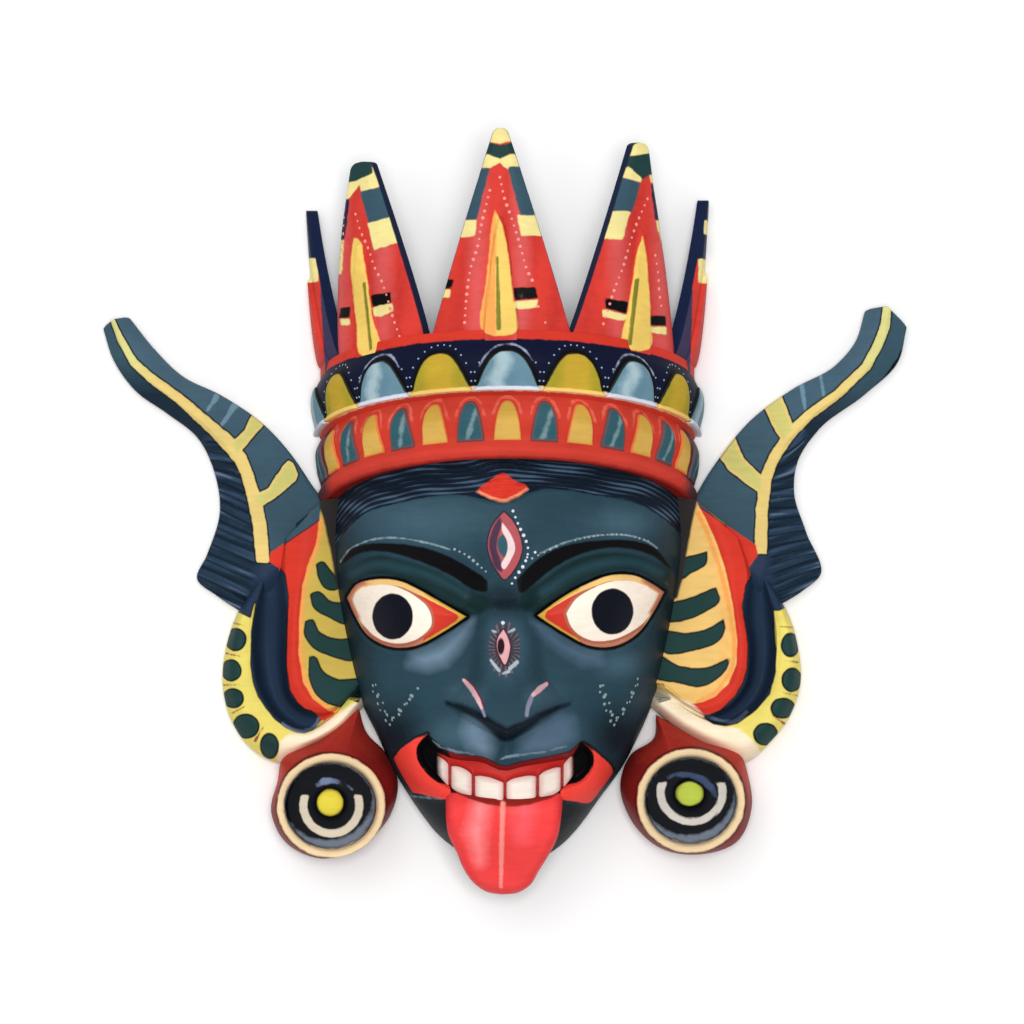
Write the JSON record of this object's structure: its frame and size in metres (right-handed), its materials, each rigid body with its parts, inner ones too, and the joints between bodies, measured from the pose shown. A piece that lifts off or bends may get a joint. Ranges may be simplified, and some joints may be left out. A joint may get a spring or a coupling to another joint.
{
  "type": "kali mask",
  "caption": "Hollow-backed carved and painted wooden face mask with tongue, tall spiked crown, horn-like wings, ears and round ear discs.",
  "frame": {"origin": "under the middle of the mask's box, on the flat back rim that it lies on", "axes": "+Z out of the face, +Y up the face towards the crown, +X to the right of someone who looks at the face"},
  "size_m": [0.485, 0.4582, 0.1226],
  "materials": {
    "painted_wood": "brushed satin enamel over carved wood, bare chiselled wood at the back"
  },
  "bodies": {
    "root": {"mask": "painted_wood"}
  },
  "joints": []
}
